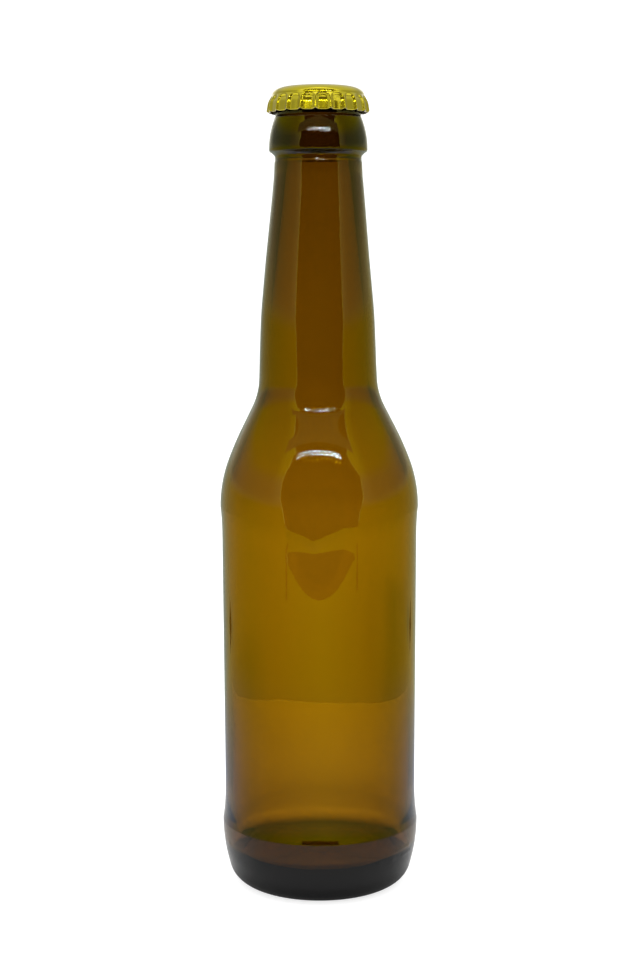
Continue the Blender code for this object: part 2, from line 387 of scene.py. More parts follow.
def outer_outline(glass):
    """The outside of the glass, from the lip down to the middle of the base."""
    points = finish_outline(glass)
    slope = shoulder(glass, no_wall)
    cone_foot = (CONE_FOOT_RADIUS, CONE_FOOT)
    neck_top = (NECK_TOP_RADIUS, NECK_TOP)
    points += rounded(neck_top, cone_foot, slope[0], CONE_FOOT_ROUND, 6)
    points += slope[:-1]
    band = (glass.band_radius, SHOULDER_BAND_HEIGHT)
    step = settle(band, (PANEL_TOP_RADIUS, PANEL_TOP), 12)
    points += rounded(slope[-2], band, step[1], BAND_EDGE_ROUND, 4)
    points += step[1:]
    rise = settle((glass.band_radius, HEEL_BAND_HEIGHT), (PANEL_FOOT_RADIUS, PANEL_FOOT), 12)
    rise.reverse()
    heel = heel_outline(glass)
    points += rise[:-1]
    points += rounded(rise[-2], rise[-1], heel[1], BAND_EDGE_ROUND, 4)
    points += heel[1:-1]
    points += push_up_outline()
    return points


def inner_outline(glass):
    """The inside of the glass, from the middle of the floor up to the lip."""
    foot_radius = PANEL_FOOT_RADIUS - glass.body_wall
    centre = (foot_radius - INNER_HEEL_ROUND, INNER_HEEL_HEIGHT)
    edge = math.acos((FLOOR_EDGE_RADIUS - centre[0]) / INNER_HEEL_ROUND)
    edge_height = centre[1] - INNER_HEEL_ROUND * math.sin(edge)
    points = dish(FLOOR_EDGE_RADIUS, FLOOR_CENTRE_HEIGHT, edge_height, 14)
    points += arc(centre, INNER_HEEL_ROUND, -edge, 0.0, 14)[1:]

    def wall(height):
        rise = (height - SHOULDER_BAND_HEIGHT) / (SWEEP_TOP - SHOULDER_BAND_HEIGHT)
        thick = min(max(rise, 0.0), 1.0) ** 2
        return glass.shoulder_wall + (CONE_FOOT_WALL - glass.shoulder_wall) * thick

    slope = shoulder(glass, wall)
    slope.reverse()
    points += slope[:-1]
    cone_foot = (CONE_FOOT_RADIUS - CONE_FOOT_WALL, CONE_FOOT)
    neck_top = (NECK_TOP_RADIUS - glass.neck_wall, NECK_TOP)
    bore = (glass.bore_radius, glass.height - BORE_ROUND - BORE_LENGTH)
    lip = (glass.bore_radius, glass.height - BORE_ROUND)
    points += rounded(slope[-2], slope[-1], cone_foot, INNER_SWEEP_ROUND, 4)
    points += rounded(slope[-1], cone_foot, neck_top, CONE_FOOT_ROUND, 4)
    points += rounded(cone_foot, neck_top, bore, BORE_FOOT_ROUND, 5)
    points += rounded(neck_top, bore, lip, BORE_TOP_ROUND, 5)
    points.append(lip)
    return points


# Mesh tools -----------------------------------------------

def turned(outline, sides):
    """A bmesh of an outline spun round the Z axis."""
    bm = bmesh.new()
    corners = [bm.verts.new((x, 0.0, z)) for x, z in outline]
    edges = [bm.edges.new(pair) for pair in zip(corners, corners[1:])]
    bmesh.ops.spin(
        bm, geom=corners + edges, cent=(0.0, 0.0, 0.0), axis=(0.0, 0.0, 1.0),
        angle=2.0 * math.pi, steps=sides, use_merge=True)
    bmesh.ops.remove_doubles(bm, verts=bm.verts[:], dist=WELD)
    return bm


def card(bm, width, height, cuts=1):
    """Adds a flat card round the origin, facing up, and returns its corners."""
    corners = bmesh.ops.create_grid(bm, x_segments=cuts, y_segments=cuts, size=0.5)["verts"]
    bmesh.ops.scale(bm, verts=corners, vec=(width, height, 1.0))
    return corners


def off_axis(bm):
    """Each vertex's place, its distance from the axis and its turn from the front."""
    for vertex in bm.verts:
        place = vertex.co
        radius = math.hypot(place.x, place.y)
        if radius >= AXIS:
            yield place, radius, math.atan2(place.x, -place.y)


def push_out(place, radius, out):
    """Moves a vertex's place away from the axis."""
    place.x += place.x / radius * out
    place.y += place.y / radius * out


def finished(bm, name, materials):
    """The bmesh as a smooth object at the origin."""
    for face in bm.faces:
        face.smooth = True
    mesh = bpy.data.meshes.new(name)
    bm.to_mesh(mesh)
    bm.free()
    for material in materials:
        mesh.materials.append(material)
    piece = bpy.data.objects.new(name, mesh)
    bpy.context.scene.collection.objects.link(piece)
    return piece


# Shader tools ---------------------------------------------

def new_material(name):
    """An empty node material and its tree."""
    material = bpy.data.materials.new(name)
    material.use_nodes = True
    tree = material.node_tree
    tree.nodes.clear()
    return material, tree


def feed(tree, socket, value):
    """Links a socket to another, or sets it; a tuple is a colour without alpha."""
    if isinstance(value, bpy.types.NodeSocket):
        tree.links.new(value, socket)
    elif isinstance(value, tuple):
        socket.default_value = (*value, 1.0)
    else:
        socket.default_value = value


def add_node(tree, kind, **values):
    """A node, with each input that is named here linked or set."""
    node = tree.nodes.new(kind)
    for key, value in values.items():
        feed(tree, node.inputs[key.replace("_", " ")], value)
    return node


def grain_group():
    """The node group for grain and peel: even noise over coordinates in metres."""
    group = bpy.data.node_groups.get("surface_grain")
    if group:
        return group
    group = bpy.data.node_groups.new("surface_grain", "ShaderNodeTree")
    start = group.nodes.new("NodeGroupInput")
    patches = group.nodes.new("ShaderNodeTexNoise")
    for label in ("Vector", "Scale", "Detail", "Roughness"):
        kind = "NodeSocketVector" if label == "Vector" else "NodeSocketFloat"
        group.interface.new_socket(label, in_out="INPUT", socket_type=kind)
        feed(group, patches.inputs[label], start.outputs[label])
    group.interface.new_socket("Grain", in_out="OUTPUT", socket_type="NodeSocketFloat")
    add_node(group, "NodeGroupOutput", Grain=patches.outputs["Fac"])
    return group


def grain(tree, scale, detail, roughness):
    """Grain, from 0 to 1, that stays put on the piece."""
    place = tree.nodes.new("ShaderNodeTexCoord").outputs["Object"]
    node = tree.nodes.new("ShaderNodeGroup")
    node.node_tree = grain_group()
    values = (("Vector", place), ("Scale", scale), ("Detail", detail), ("Roughness", roughness))
    for label, value in values:
        feed(tree, node.inputs[label], value)
    return node.outputs["Grain"]


def bump(tree, strength, depth, height):
    """Normals of a surface raised by a height between 0 and 1."""
    node = add_node(tree, "ShaderNodeBump", Strength=strength, Distance=depth, Height=height)
    return node.outputs["Normal"]


def even_range(tree, value, low, high, start, end, kind="LINEAR"):
    """Maps low..high evenly to start..end."""
    node = add_node(tree, "ShaderNodeMapRange", Value=value, From_Min=low, From_Max=high,
                    To_Min=start, To_Max=end)
    node.interpolation_type = kind
    return node.outputs["Result"]


def smooth_range(tree, value, low, high, start, end):
    """As even_range, with a soft start and end."""
    return even_range(tree, value, low, high, start, end, "SMOOTHSTEP")


def calculate(tree, operation, first, second):
    """The result of a sum with sockets or plain numbers."""
    node = tree.nodes.new("ShaderNodeMath")
    node.operation = operation
    feed(tree, node.inputs[0], first)
    feed(tree, node.inputs[1], second)
    return node.outputs["Value"]


def choose(tree, mask, without, within, kind="FLOAT"):
    """The value within where the mask is 1, and the one without elsewhere."""
    node = tree.nodes.new("ShaderNodeMix")
    node.data_type = kind
    for value, label in ((mask, "Factor"), (without, "A"), (within, "B")):
        feed(tree, node.inputs[label], value)
    return node.outputs["Result"]


def blend_colours(tree, mask, without, within):
    """As choose, for colours."""
    return choose(tree, mask, without, within, "RGBA")


def mix_shaders(tree, mask, without, within):
    """As choose, for shaders."""
    node = tree.nodes.new("ShaderNodeMixShader")
    for value, socket in zip((mask, without, within), node.inputs):
        feed(tree, socket, value)
    return node.outputs["Shader"]


# Glass ----------------------------------------------------

GLASS_SIDES = 216
GLASS_IOR = 1.52
HEEL_CODE_HEIGHT = 11.6 * MM
HEEL_CODE_START = math.radians(37.0)
HEEL_CODE_STEP = math.radians(3.5)
HEEL_CODE_COLUMNS = 10
HEEL_CODE_ROW = 2.2 * MM
DOT_RADIUS = 0.85 * MM
DOT_HEIGHT = 0.22 * MM
DOT_SHARE = 0.65
DOT_SEED = 5
DOTS_FOOT = 4.0 * MM
DOTS_TOP = 18.0 * MM
LONE_DOT_TURN = math.radians(-69.0)
STIPPLES = 54
STIPPLE_DEPTH = 0.12 * MM
STIPPLE_EDGE = 0.5 * MM
STIPPLE_MARGIN = 0.8 * MM
SEAM_HEIGHT = 0.012 * MM
SEAM_HALF_WIDTH = 0.2 * MM
SEAM_FOOT = 2.0 * MM
SEAM_TOP = 226.0 * MM
BODY_RIPPLE = 0.003 * MM
NECK_RIPPLE = 0.024 * MM
RIPPLE_FOOT = (20 * MM, 30 * MM)
RIPPLE_TOP = 212.0 * MM
RIPPLE_TOP_MARGIN = 6.0 * MM
NECK_RIPPLE_FOOT = (150 * MM, 165 * MM)
NECK_RIPPLE_MARGIN = 8.0 * MM
# (width, stretch along the height, seed) of each noise that moves the glass.
OUTER_RIPPLE = (11 * MM, 1.4, 3.1)
BROAD_SAG = (16 * MM, 2.6, 11.7)
FINE_SAG = (6 * MM, 5.0, 27.3)
BROAD_SHARE = 0.8
FINE_SHARE = 0.25
SAG_TOP_MARGIN = (12 * MM, 30 * MM)
FLOOR_TOP = 20.0 * MM
FLOOR_CALM = (8 * MM, 14 * MM)
DROOP = 1.5 * MM
DROOP_HEIGHT = 146.0 * MM
DROOP_REACH = 16.0 * MM
STEP_DROOP = 3.0 * MM
STEP_TIP_DROOP = 3.4 * MM
STEP_TIP_TURN = math.radians(-3.6)
STEP_TIP_WIDTH = math.radians(18.0)
STEP_TIP_SHARPNESS = 1.2
STEP_WANDER = 0.35 * MM
STEP_WANDER_TURN = math.radians(6.0)
STEP_TOP = 128.0 * MM
LEAN = 0.28 * MM
LEAN_FOOT = (128 * MM, 160 * MM)
LEAN_TOP = 207.0 * MM
LEAN_TOP_MARGIN = 25.0 * MM


def heel_dots():
    """(turn from the front, height) of the small raised dots on the heel."""
    chance = random.Random(DOT_SEED)
    dots = []
    for column in range(HEEL_CODE_COLUMNS):
        for row in range(2):
            if chance.random() < DOT_SHARE:
                turn = HEEL_CODE_START + HEEL_CODE_STEP * column
                dots.append((turn, HEEL_CODE_HEIGHT + HEEL_CODE_ROW * row))
    dots.append((LONE_DOT_TURN, HEEL_CODE_HEIGHT + HEEL_CODE_ROW))
    return dots


def wander(point, width, stretch, seed):
    """Smooth noise between -1 and 1, drawn out along the height."""
    place = Vector((point.x / width, point.y / width, point.z / (width * stretch)))
    return noise.noise(place + Vector((seed, seed, seed)))


def press_outside(bm):
    """The mould's marks and the slight ripple on the outside of the glass."""
    dots = heel_dots()
    for place, radius, turn in off_axis(bm):
        out = 0.0
        if RIPPLE_FOOT[0] < place.z < RIPPLE_TOP:
            calm = fade(place.z, *RIPPLE_FOOT)
            calm *= fade(RIPPLE_TOP - place.z, 0.0, RIPPLE_TOP_MARGIN)
            neck = fade(place.z, *NECK_RIPPLE_FOOT)
            neck *= fade(COLLAR_FOOT - place.z, 0.0, NECK_RIPPLE_MARGIN)
            amount = BODY_RIPPLE + (NECK_RIPPLE - BODY_RIPPLE) * neck
            out += amount * wander(place, *OUTER_RIPPLE) * calm
        if DOTS_FOOT < place.z < DOTS_TOP:
            for dot_turn, dot_height in dots:
                gap = math.hypot((turn - dot_turn) * radius, place.z - dot_height) / DOT_RADIUS
                if gap < 1.0:
                    out += DOT_HEIGHT * (1.0 - gap * gap) ** 2
        seam = abs(abs(turn) - QUARTER) * radius
        if seam < SEAM_HALF_WIDTH and SEAM_FOOT < place.z < SEAM_TOP:
            out += SEAM_HEIGHT
        push_out(place, radius, out)
        on_ring = fade(radius, RING_INNER_RADIUS, RING_INNER_RADIUS + STIPPLE_EDGE)
        on_ring *= fade(RING_OUTER_RADIUS + STIPPLE_MARGIN - radius, 0.0, STIPPLE_EDGE)
        if place.z < STIPPLE_EDGE and on_ring > 0.0:
            place.z += STIPPLE_DEPTH * on_ring * (0.5 - 0.5 * math.cos(STIPPLES * turn))


def sag_inside(bm, glass):
    """The inner wall of blown glass, which is never quite even."""
    for place, radius, _ in off_axis(bm):
        calm = fade(glass.height - place.z, *SAG_TOP_MARGIN)
        calm *= fade(radius, *FLOOR_CALM) if place.z < FLOOR_TOP else 1.0
        sag = BROAD_SHARE * wander(place, *BROAD_SAG) + FINE_SHARE * wander(place, *FINE_SAG)
        push_out(place, radius, glass.ripple * sag * calm)


def step_droop(turn):
    """How far the step under the shoulder band hangs down at a turn from the front."""
    tip = max(0.0, 1.0 - abs(turn - STEP_TIP_TURN) / STEP_TIP_WIDTH) ** STEP_TIP_SHARPNESS
    waver = STEP_WANDER * noise.noise(Vector((turn / STEP_WANDER_TURN, 0.0, 4.7)))
    return STEP_DROOP + STEP_TIP_DROOP * tip + waver


def droop_front(bm):
    """The sweep under the neck and the step under the band hang lower at the front."""
    for place, radius, turn in off_axis(bm):
        if place.y >= 0.0 or not PANEL_TOP < place.z < CONE_FOOT:
            continue
        front = (-place.y / radius) ** 2
        sweep = fade(DROOP_REACH - abs(place.z - DROOP_HEIGHT), 0.0, DROOP_REACH)
        step = fade(place.z, PANEL_TOP, SHOULDER_BAND_HEIGHT)
        step *= fade(STEP_TOP - place.z, 0.0, STEP_TOP - SHOULDER_BAND_HEIGHT)
        place.z -= (DROOP * sweep + step_droop(turn) * step) * front


def lean_neck(bm):
    """The neck leans a little aside between the shoulder and the finish."""
    for vertex in bm.verts:
        height = vertex.co.z
        share = fade(height, *LEAN_FOOT) * fade(LEAN_TOP - height, 0.0, LEAN_TOP_MARGIN)
        vertex.co.x -= LEAN * share


def amber_glass(glass):
    """Clear shell with the colour in its volume, so thick glass goes dark."""
    material, tree = new_material("amber_glass")
    shader = add_node(
        tree, "ShaderNodeBsdfPrincipled", Base_Color=tuple(glass.skin), Metallic=0.0,
        Roughness=0.0, IOR=GLASS_IOR, Transmission_Weight=1.0)
    amber = add_node(
        tree, "ShaderNodeVolumeAbsorption", Color=tuple(glass.tint), Density=glass.depth)
    add_node(tree, "ShaderNodeOutputMaterial", Surface=shader.outputs["BSDF"],
             Volume=amber.outputs["Volume"])
    return material


def blow_bottle(glass):
    """The whole bottle as one closed body of glass."""
    bm = turned(spread(outer_outline(glass), OUTSIDE_RINGS), GLASS_SIDES)
    press_outside(bm)
    inner = turned(spread(inner_outline(glass), INSIDE_RINGS), GLASS_SIDES)
    sag_inside(inner, glass)
    for surface in (bm, inner):
        droop_front(surface)
        lean_neck(surface)
    lining = bpy.data.meshes.new("inner_wall")
    inner.to_mesh(lining)
    inner.free()
    bm.from_mesh(lining)
    bpy.data.meshes.remove(lining)
    bmesh.ops.remove_doubles(bm, verts=bm.verts[:], dist=WELD)
    bmesh.ops.recalc_face_normals(bm, faces=bm.faces[:])
    return finished(bm, "glass_bottle", [amber_glass(glass)])


# Crown cap ------------------------------------------------

CROWN_STEPS = 24
PANEL_RADIUS = 9.4 * MM
CROWN_DOME = 0.15 * MM
CORNER_DEPTH = 2.35 * MM
CORNER_WIDTH = 3.9 * MM
FLARE_RADIUS = 14.45 * MM
FLARE_HEIGHT = 230.0 * MM
RIM_RADIUS = 14.85 * MM
RIM_HEIGHT = 227.45 * MM
FLUTE_DROP = 0.4 * MM
FLUTE_TOP = 231.9 * MM
FLUTE_FULL = 230.9 * MM
FLUTE_TURN = math.radians(5.4)
RIDGE_SHARPNESS = 5
ARCH_DROP = 0.7 * MM
FLARE_ROUND = 4.0 * MM
# Every grain is its scale, detail and roughness.
HANDLING = (140.0, 4.0, 0.6)
HANDLED = (0.45, 0.85, 0.0, 1.0)
HANDLED_SHADE = 0.86
LACQUER_POLISH = (0.0, 1.0, 0.14, 0.21)
LACQUER_COAT = 0.75
LACQUER_COAT_POLISH = 0.04
LACQUER_PEEL = (900.0, 3.0, 0.5)
PEEL_STRENGTH = 0.08
PEEL_DEPTH = 0.04 * MM
METAL_GRAIN = (700.0, 3.0, 0.5)
# The inside tinplate is darkened as painted shade inside the crown.
SHADED_INSIDE_METAL = (0.30, 0.26, 0.17)
INSIDE_POLISH = 0.4
CUT_METAL = (0.80, 0.70, 0.48)
CUT_POLISH = 0.25
GRAIN_DULLS = 0.15
CROWN_RINGS = 6
CORNER_STEPS = 12
SKIRT_RINGS = ((-1.0, FLUTE_TOP + 0.4 * MM, 0.2 * MM), (-1.0, 1.0, 0.6 * MM))


def crown_outline(crown):
    """The outside of the crown on a ridge, from the axis to the rim."""
    foot = crown.top - CROWN_DOME - CORNER_DEPTH
    points = [(0.0, crown.top)]
    for step in range(1, CROWN_RINGS):
        t = step / CROWN_RINGS
        points.append((PANEL_RADIUS * t, crown.top - CROWN_DOME * t * t))
    for angle in even_turns(QUARTER, 0.0, CORNER_STEPS):
        points.append((PANEL_RADIUS + CORNER_WIDTH * math.cos(angle),
                       foot + CORNER_DEPTH * math.sin(angle)))
    corner = points[-1]
    flare = (FLARE_RADIUS, FLARE_HEIGHT)
    rim = (RIM_RADIUS, RIM_HEIGHT)
    points += rounded(corner, flare, rim, FLARE_ROUND, 10)
    points.append(rim)
    return points


def crimp(bm, crown):
    """Presses the skirt in between the ridges of its flutes."""
    for place, radius, turn in off_axis(bm):
        beat = (1.0 - math.cos(crown.flutes * (turn - FLUTE_TURN))) / 2
        arch = FLUTE_TOP - ARCH_DROP * beat ** 2
        pressed = fade(arch - place.z, 0.0, FLUTE_TOP - FLUTE_FULL)
        pressed *= 1.0 - beat ** RIDGE_SHARPNESS
        down = max(0.0, (FLARE_HEIGHT - place.z) / (FLARE_HEIGHT - RIM_HEIGHT))
        push_out(place, radius, -crown.flute_depth * pressed)
        place.z -= FLUTE_DROP * pressed * down


def gold_lacquer(crown):
    """Bright tinplate under a yellow lacquer, duller where hands have been."""
    material, tree = new_material("gold_lacquer")
    gold = tuple(crown.gold)
    dull = tuple(channel * HANDLED_SHADE for channel in gold)
    handled = even_range(tree, grain(tree, *HANDLING), *HANDLED)
    shader = add_node(
        tree, "ShaderNodeBsdfPrincipled", Metallic=1.0,
        Base_Color=blend_colours(tree, handled, gold, dull),
        Roughness=even_range(tree, handled, *LACQUER_POLISH),
        Normal=bump(tree, PEEL_STRENGTH, PEEL_DEPTH, grain(tree, *LACQUER_PEEL)),
        Coat_Weight=LACQUER_COAT, Coat_Roughness=LACQUER_COAT_POLISH)
    add_node(tree, "ShaderNodeOutputMaterial", Surface=shader.outputs["BSDF"])
    return material


def plain_metal(name, colour, roughness):
    """Bare or clear-lacquered tinplate with a faint grain."""
    material, tree = new_material(name)
    polish = even_range(
        tree, grain(tree, *METAL_GRAIN), 0.0, 1.0, roughness, roughness + GRAIN_DULLS)
    shader = add_node(
        tree, "ShaderNodeBsdfPrincipled", Base_Color=colour, Metallic=1.0, Roughness=polish)
    add_node(tree, "ShaderNodeOutputMaterial", Surface=shader.outputs["BSDF"])
    return material


def press_crown(crown):
    """The crown as one sheet: gold outside, plain inside darkened as painted shade, bare at its
    cut rim.
    """
    outline = spread(crown_outline(crown), SKIRT_RINGS)
    bm = turned(outline, crown.flutes * CROWN_STEPS)
    crimp(bm, crown)
    bmesh.ops.recalc_face_normals(bm, faces=bm.faces[:])
    top = max(bm.faces, key=lambda face: face.calc_center_median().z)
    if top.normal.z < 0.0:
        bmesh.ops.reverse_faces(bm, faces=bm.faces[:])
    piece = finished(bm, "gold_crown", [
        gold_lacquer(crown),
        # The inside colour is darkened as painted shade inside the crown.
        plain_metal("tinplate_inside_painted_shade", SHADED_INSIDE_METAL, INSIDE_POLISH),
        plain_metal("cut_rim", CUT_METAL, CUT_POLISH)])
    sheet = piece.modifiers.new("sheet", "SOLIDIFY")
    sheet.thickness = crown.sheet
    sheet.offset = -1.0
    sheet.use_even_offset = True
    sheet.material_offset = 1
    sheet.material_offset_rim = 2
    return piece


# Light tent, floor and camera -----------------------------

TABLE_FRONT = -0.483
TABLE_BACK = 0.215
TABLE_HALF_WIDTH = 2.4
NEUTRAL = (1.0, 1.0, 1.0)
# Light that the glass mirrors: colours at angles from the opening, in degrees.
CLOTH_SHEEN = (
    (0.0, (1.0, 0.90, 0.22)), (95.0, (1.0, 0.97, 0.28)),
    (130.0, (0.95, 0.92, 0.55)), (165.0, (1.0, 1.0, 0.85)))
HIGH_SHEEN = (1.0, 0.85, 0.02)
FAR_SHEEN = (
    (0.0, (1.10, 1.02, 0.0)), (54.0, (0.81, 0.67, 0.0)), (91.0, (0.68, 0.64, 0.01)),
    (113.0, (0.78, 0.62, 0.05)), (136.0, (0.75, 0.60, 0.18)), (165.0, (0.5, 0.55, 0.45)))
# NEAR_SHEEN and FOOT_SHEEN colour only the board's painted reflection.
NEAR_SHEEN = (
    (0.0, (0.85, 0.70, 0.11)), (60.0, (0.46, 0.42, 0.11)), (85.0, (0.46, 0.44, 0.20)),
    (102.0, (0.50, 0.50, 0.40)), (118.0, (0.46, 0.50, 0.60)))
FOOT_SHEEN = ((60.0, (0.47, 0.47, 0.47)), (105.0, (0.72, 0.72, 0.72)))
# Each soft change: low, high and, where the settings don't give them, its two ends.
# The world's go by the angle from the opening or by the direction's X or Z, the
# table's by metres from the axis.
FLAP_SIDE = (math.radians(44.0), math.radians(66.0))
REAR_SIDE = (math.radians(132.0), math.radians(172.0), 0.0, 1.0)
REAR_TOP = (0.35, 0.45, 1.0, 0.0)
WALL_FOOT = (-0.24, -0.14)
WALL_FOOT_SHARE = 0.86
HORIZON = (0.02, 0.13, 1.0, 0.0)
HIGH_ON_METAL = (0.35, 0.70, 1.0, 1.6)
HIGH_IN_GLASS = (0.20, 0.50, 1.0, 1.9)
HIGH_TONE = (0.20, 0.45, 0.0, 1.0)
RIGHT_SHADE = (0.05, 0.13, 0.0, 0.28)
RIGHT_SHADE_TOP = (-0.188, -0.168, 1.0, 0.0)
LEFT_SHADE = (-0.125, -0.06, 0.22, 0.0)
LEFT_SHADE_TOP = (-0.228, -0.195, 1.0, 0.0)
BOARD_ACROSS = (0.012, 0.05, 0.83, 0.70)
# Painted shadow on the board under the bottle, and painted light beside it.
PAINTED_SHADOW_UNDER_BOTTLE = (0.016, 0.034, 0.15, 1.15)
PAINTED_LIGHT_BESIDE_BOTTLE = (0.045, 0.085, 1.36, 1.0)
# Painted contact shadow: the board's painted reflection dims near the foot.
PAINTED_CONTACT_SHADOW = (0.022, 0.036, 0.23, 1.0)
FOOT_TONE = (0.088, 0.125, 0.0, 1.0)
FAR_TONE = (0.09, 0.34, 0.0, 1.0)
TABLE_CUTS = 4
FLOOR_WIDTH = 6.0
BOARD_GRAIN = (350.0, 4.0, 0.5)
BOARD_RELIEF = 0.03
BOARD_DEPTH = 0.2 * MM
BOARD_DULL = 0.7
FLOOR_GRAIN = (300.0, 3.0, 0.5)
FLOOR_TONE = (0.0, 1.0, 0.50, 0.56)
FLOOR_DULL = 0.8
FLOOR_GLOW = 0.75
FLOOR_HEIGHT = -0.02 * MM
GAP_DISTANCE = 0.507
GAP_TURN = math.radians(3.5)
GAP_TONE = (1.0, 0.85, 0.7)
GAP_GLOW = 0.01
GAP_ON_METAL = 0.15
HEM_WIDTH = 0.016
HEM_TONE = (1.0, 0.95, 0.15)
HEM_GLOW = 2.0
PELMET_DISTANCE = 0.165
PELMET_HALF_WIDTH = 0.2
PELMET_FOOT = 0.310
PELMET_TOP = 0.380
PELMET_TONE = (1.0, 0.90, 0.25)
PELMET_GLOW = 0.36
# (height, left edge, right edge) of the opening.
GAP_EDGES = [
    (-0.008, -0.375, 0.460), (0.120, -0.400, 0.520), (0.210, -0.500, 0.640),
    (0.310, -0.500, 0.640), (0.430, -0.460, 0.640), (0.570, -0.406, 0.508),
    (0.640, -0.350, 0.433), (0.820, -0.446, 0.548), (0.930, -0.525, 0.665),
    (1.150, -0.525, 0.665)]
STRIP_DISTANCE = 0.259
STRIP_HEIGHT = 0.352
STRIP_COLUMNS = 19
STRIP_PITCH = 0.017
STRIP_SHIFT = 0.004
STRIP_STAGGER = 0.007
STRIP_AIM = (0.0, -0.02, 0.13)
STRIP_ON_METAL = 0.4
LAMP_WIDTH = 0.006
LAMP_HEIGHT = 0.005
POLE_DISTANCE = 0.2
POLE_PLACES = (-0.150, 0.183)
POLE_WIDTH = 0.005
POLE_FOOT = 0.046
POLE_TOP = 0.090
CLIP_DISTANCE = 0.25
CLIP_TURNS = (math.radians(-127.6), math.radians(132.0))
CLIP_HALF_WIDTH = 0.012
CLIP_FOOT = 0.017
CLIP_TOP = 0.044
CAMERA_ASIDE = -0.94 * MM
CAMERA_NEAREST = 0.01
SENSOR_WIDTH = 36.0


def turn_aside(tree, split):
    """Angle from the middle of the opening, 0 to pi, from separated coordinates."""
    front = calculate(tree, "MULTIPLY", split.outputs["Y"], -1.0)
    turn = calculate(tree, "ARCTAN2", split.outputs["X"], front)
    turn = calculate(tree, "SUBTRACT", turn, GAP_TURN)
    return calculate(tree, "ABSOLUTE", turn, 0.0)


def sheen_by_turn(tree, aside, stops):
    """Colour of the stops, given in degrees, at the angle aside."""
    share = calculate(tree, "DIVIDE", aside, math.pi)
    ramp = add_node(tree, "ShaderNodeValToRGB", Fac=share)
    while len(ramp.color_ramp.elements) < len(stops):
        ramp.color_ramp.elements.new(0.5)
    for element, (angle, colour) in zip(ramp.color_ramp.elements, stops):
        element.position = angle / 180.0
        element.color = (*colour, 1.0)
    return ramp.outputs["Color"]


def mirrored_once(tree):
    """1 on paths that any surface has mirrored, else 0."""
    path = tree.nodes.new("ShaderNodeLightPath")
    return calculate(tree, "GREATER_THAN", path.outputs["Glossy Depth"], 0.5)


def mirrored_in_glass(tree):
    """1 on paths that polished glass has mirrored, else 0."""
    path = tree.nodes.new("ShaderNodeLightPath")
    return calculate(tree, "MULTIPLY", mirrored_once(tree), path.outputs["Is Singular Ray"])


def glow(name, colour, strength):
    """A plain emitting material for cards and lights of the tent."""
    material, tree = new_material(name)
    light = add_node(tree, "ShaderNodeEmission", Color=colour, Strength=strength)
    add_node(tree, "ShaderNodeOutputMaterial", Surface=light.outputs["Emission"])
    return material


def set_glow(material, on_metal, in_glass):
    """Gives a glow one strength in polished glass and another elsewhere."""
    tree = material.node_tree
    strength = choose(tree, mirrored_in_glass(tree), on_metal, in_glass)
    feed(tree, tree.nodes["Emission"].inputs["Strength"], strength)


def mirrored_glow(name, colour, strength, only_glass=False):
    """As glow, and clear on paths that no surface, or no glass, has mirrored."""
    material = glow(name, colour, strength)
    tree = material.node_tree
    clear = tree.nodes.new("ShaderNodeBsdfTransparent").outputs["BSDF"]
    mask = mirrored_in_glass(tree) if only_glass else mirrored_once(tree)
    mixed = mix_shaders(tree, mask, clear, tree.nodes["Emission"].outputs["Emission"])
    feed(tree, tree.nodes["Material Output"].inputs["Surface"], mixed)
    material.cycles.emission_sampling = "NONE"
    return material


def hide_from(item, *rays):
    """Hides the item from some kinds of rays."""
    for kind in rays:
        setattr(item, "visible_" + kind, False)


def only_in_reflections(item):
    """The item shows in gloss and glass alone: it lights and hides nothing else."""
    hide_from(item, "camera", "diffuse", "volume_scatter", "shadow")


def table_top():
    """Pale board with painted shadow under the bottle and painted light beside it; in gloss it
    is a glowing painted reflection that a painted contact shadow dims towards the bottle's foot.
    """
    material, tree = new_material("pale_table")
    place = tree.nodes.new("ShaderNodeTexCoord").outputs["Object"]
    split = add_node(tree, "ShaderNodeSeparateXYZ", Vector=place)
    length = tree.nodes.new("ShaderNodeVectorMath")
    length.operation = "LENGTH"
    feed(tree, length.inputs[0], place)
    reach = length.outputs["Value"]
    across = calculate(tree, "ABSOLUTE", split.outputs["X"], 0.0)
    pale = smooth_range(tree, across, *BOARD_ACROSS)
    # The board's colour holds painted shadow under the bottle and painted light beside it.
    under = smooth_range(tree, reach, *PAINTED_SHADOW_UNDER_BOTTLE)
    painted_light_nearby = smooth_range(tree, reach, *PAINTED_LIGHT_BESIDE_BOTTLE)
    painted_shade_and_light = calculate(tree, "MULTIPLY", under, painted_light_nearby)
    relief = bump(tree, BOARD_RELIEF, BOARD_DEPTH, grain(tree, *BOARD_GRAIN))
    board = add_node(
        tree, "ShaderNodeBsdfPrincipled", Base_Color=calculate(tree, "MULTIPLY", pale, painted_shade_and_light),
        Roughness=BOARD_DULL, Normal=relief)
    aside = turn_aside(tree, split)
    near, far, foot = (
        sheen_by_turn(tree, aside, stops) for stops in (NEAR_SHEEN, FAR_SHEEN, FOOT_SHEEN))
    sheen = blend_colours(tree, smooth_range(tree, reach, *FAR_TONE), near, far)
    sheen = blend_colours(tree, smooth_range(tree, reach, *FOOT_TONE), foot, sheen)
    # In gloss the board shows as a glow: a painted reflection in the sheen colours, dimmed near
    # the foot as painted contact shadow.
    painted_reflection = add_node(
        tree, "ShaderNodeEmission", Strength=smooth_range(tree, reach, *PAINTED_CONTACT_SHADOW),
        Color=blend_colours(tree, mirrored_in_glass(tree), NEUTRAL, sheen))
    mixed = mix_shaders(tree, mirrored_once(tree), board.outputs["BSDF"],
                        painted_reflection.outputs["Emission"])
    add_node(tree, "ShaderNodeOutputMaterial", Surface=mixed)
    material.cycles.emission_sampling = "NONE"
    return material


